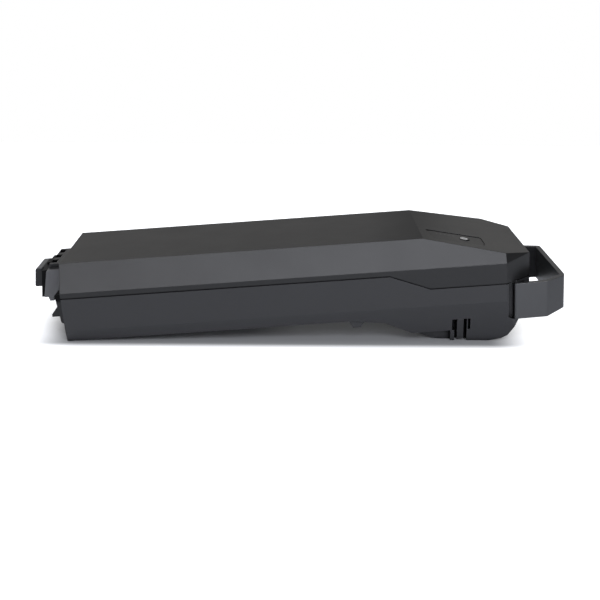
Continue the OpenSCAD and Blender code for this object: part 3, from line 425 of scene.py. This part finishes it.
# Materials, one for each slot of the record
SHELL_BLACK = (0.01, 0.01, 0.0103, 1)
FILM_ROUGH = 0.34
GLOSSY = 0.3
MATERIALS = {
    "shell_plastic": plastic("shell_plastic", SHELL_BLACK, marks=shell_painted_light_and_shade),
    "seal_rubber": rubber("seal_rubber", (0.006, 0.006, 0.0065, 1)),
    "screw_steel": metal("screw_steel", (0.55, 0.56, 0.58, 1)),
    "catch_plastic": plastic("catch_plastic", (0.02, 0.02, 0.021, 1)),
    "handle_plastic": plastic("handle_plastic", (0.022, 0.0225, 0.024, 1), rough=0.33, specular=1.0),
    "panel_plastic": plastic("panel_plastic", SHELL_BLACK, rough=FILM_ROUGH, marks=panel_windows_and_painted_shade),
    "button_plastic": plastic("button_plastic", SHELL_BLACK, rough=FILM_ROUGH, marks=ring_mark),
    "lamp_lens": plastic("lamp_lens", (0.3, 0.31, 0.32, 1), rough=0.25),
    "board_laminate": plastic("board_laminate", (0.02, 0.15, 0.06, 1), rough=GLOSSY),
    "black_plastic": plastic("black_plastic", (0.008, 0.008, 0.0085, 1), marks=saddle_shade_and_nose_highlight),
    "block_plastic": plastic("block_plastic", (0.015, 0.015, 0.016, 1), marks=ear_painted_light),
    "contact_brass": metal("contact_brass", (0.75, 0.58, 0.28, 1)),
    "flap_rubber": rubber("flap_rubber", (0.03, 0.03, 0.031, 1)),
    "cell_wrap": plastic("cell_wrap", (0.05, 0.25, 0.4, 1), rough=GLOSSY),
    "nickel": metal("nickel", (0.6, 0.58, 0.54, 1)),
    "card": rubber("card", (0.55, 0.5, 0.38, 1)),
    "sink_aluminium": metal("sink_aluminium", (0.75, 0.76, 0.78, 1)),
    "fuse_plastic": plastic("fuse_plastic", (0.5, 0.06, 0.04, 1), rough=GLOSSY),
    "lead_red": rubber("lead_red", (0.4, 0.02, 0.02, 1)),
    "lead_black": rubber("lead_black", (0.03, 0.03, 0.03, 1)),
    "foam": rubber("foam", (0.05, 0.05, 0.052, 1), rough=0.9),
}


def dress_nodes():
    """Gives every CAD node the material of its slot."""
    for part in frame["record"]["subparts"]:
        shown = frame["nodes"][part["node"]]
        shown.data.materials.clear()
        shown.data.materials.append(MATERIALS[part["material_slot"]])


# Floor: the case tips forward on its sole until the front edge of its floor touches
FRONT_EDGE_Z = 28.5
SOLE_END_L = 360
SOLE_END_X = FRONT_X + SOLE_END_L
FLOOR_X = (-700, 700)
FLOOR_Y = (-520, 900)
PAPER_PATTERN = (3, 3, 0.5)
PAPER_COLOURS = ((0.76, 0.78, 0.82, 1), (0.78, 0.8, 0.84, 1))
FLOOR_GLOW = 0.9

# Painted shadow: under the case the camera sees the paper painted darker; the low end, high end and soft
# edge of that patch
PATCH_END_INSET = 2.5
PATCH_SIDE_INSET = 0.5
PATCH = {
    "X": (FRONT_X + PATCH_END_INSET, SOLE_END_X - PATCH_END_INSET, 50),
    "Y": (LOWER_LOW.y + PATCH_SIDE_INSET, LOWER_HIGH.y - PATCH_SIDE_INSET, 16),
}
SHADOW_GREY = (0.4, 0.405, 0.41, 1)

# Painted light: the rear of that patch glows a little for the camera, where light reaches under the case
UNDER_GLOW = 0.035
UNDER_SPANS = {"X": (-45, 0), "Y": (-50, -30)}


def floor_z(x):
    return FRONT_EDGE_Z * (SOLE_END_X - x) / SOLE_END_L


def clear_of_case(kit):
    """Zero on the floor under the case, rising to one a little way outside it."""
    gaps = []
    for axis, (low, high, edge) in PATCH.items():
        off = kit.maths("ABSOLUTE", kit.maths("SUBTRACT", kit.place(axis), (low + high) / 2 * MM))
        gap = kit.maths("MAXIMUM", kit.maths("SUBTRACT", off, (high - low) / 2 * MM), 0)
        gaps.append(kit.maths("DIVIDE", gap, edge * MM))
    return kit.ramp(length(kit, *gaps), RISE, shape="SMOOTHSTEP")


def floor_paper():
    """White paper that glows for the camera alone; under the case the glow is taken away and the paper
    painted darker, a painted shadow.
    """
    kit = Nodes("floor_paper")
    seen = kit.add("ShaderNodeLightPath").outputs["Is Camera Ray"]
    clear = clear_of_case(kit)
    # painted shadow: the camera sees darker paper under the case
    covered = kit.maths("MULTIPLY", seen, kit.maths("SUBTRACT", 1, clear))
    matte = kit.add("ShaderNodeBsdfDiffuse")
    paper = kit.tint(kit.noise(PAPER_PATTERN), *PAPER_COLOURS)
    kit.put(matte.inputs["Color"], kit.tint(covered, paper, SHADOW_GREY))
    # painted light: a little glow at the rear of the patch under the case
    lifted = kit.maths("MULTIPLY", *(kit.along(axis, span) for axis, span in UNDER_SPANS.items()))
    under = kit.maths("MULTIPLY", lifted, UNDER_GLOW)
    level = kit.maths("ADD", kit.maths("MULTIPLY", clear, FLOOR_GLOW), under)
    glow = kit.add("ShaderNodeEmission")
    kit.put(glow.inputs["Strength"], kit.maths("MULTIPLY", seen, level))
    total = kit.add("ShaderNodeAddShader")
    kit.put(total.inputs[0], matte.outputs["BSDF"])
    kit.put(total.inputs[1], glow.outputs["Emission"])
    kit.put(kit.out.inputs["Surface"], total.outputs["Shader"])
    return kit.material


def make_floor():
    left, right = FLOOR_X
    near, far = FLOOR_Y
    corners = [(left, near), (right, near), (right, far), (left, far)]
    mesh = bpy.data.meshes.new("floor")
    mesh.from_pydata([Vector((x, y, floor_z(x))) * MM for x, y in corners], [], [(0, 1, 2, 3)])
    mesh.materials.append(floor_paper())
    floor = bpy.data.objects.new("floor", mesh)
    scene.collection.objects.link(floor)


# World and lamps: places and sizes in metres, powers in watts
WORLD_LIGHT = 0.14
CENTRE = Vector((0.0, 0.0, 0.05))
LAMPS = (
    ("softbox", (0.25, -1.05, 0.85), (1.1, 0.6), (0.96, 0.98, 1.05), 6.9),
    ("softbox_left", (-0.6, -1.05, 0.85), (0.6, 0.6), (0.97, 0.98, 1.04), 2.8),
    ("low_right", (0.6, -1.25, 0.2), (0.7, 0.2), (0.96, 0.98, 1.05), 5.5),
    ("top", (-0.2, 0.3, 1.6), (1.4, 1.2), (0.98, 0.99, 1.02), 13),
    ("back", (-0.35, 1.4, 0.55), (1.2, 0.4), (1.03, 1.0, 0.97), 0.28),
    ("back_right", (0.75, 1.3, 0.55), (0.6, 0.4), (1.03, 1.0, 0.97), 0.28),
    ("back_left", (-1.3, 1.1, 0.7), (1.4, 0.9), (1.02, 1.0, 0.98), 4),
)


def make_world():
    """White for the camera, and a dim light from all sides for everything else."""
    world = bpy.data.worlds.new("world")
    world.use_nodes = True
    tree = world.node_tree
    tree.nodes.clear()
    out = tree.nodes.new("ShaderNodeOutputWorld")
    sky = tree.nodes.new("ShaderNodeBackground")
    sky.inputs["Color"].default_value = WHITE
    seen = tree.nodes.new("ShaderNodeLightPath").outputs["Is Camera Ray"]
    level = tree.nodes.new("ShaderNodeMapRange")
    level.inputs["To Min"].default_value = WORLD_LIGHT
    tree.links.new(seen, level.inputs["Value"])
    tree.links.new(level.outputs["Result"], sky.inputs["Strength"])
    tree.links.new(sky.outputs["Background"], out.inputs["Surface"])
    scene.world = world


def make_lamp(name, at, size, colour, power):
    """An area lamp that faces the case and doesn't show itself to the camera."""
    data = bpy.data.lights.new(name, "AREA")
    data.shape = "RECTANGLE"
    data.size, data.size_y = size
    data.color = colour
    data.energy = power
    light = bpy.data.objects.new(name, data)
    scene.collection.objects.link(light)
    light.visible_camera = False
    light.location = at
    light.rotation_euler = (CENTRE - Vector(at)).to_track_quat("-Z", "Y").to_euler()


dress_nodes()
make_camera()
make_floor()
make_world()
for lamp in LAMPS:
    make_lamp(*lamp)
scene.view_settings.view_transform = "Standard"
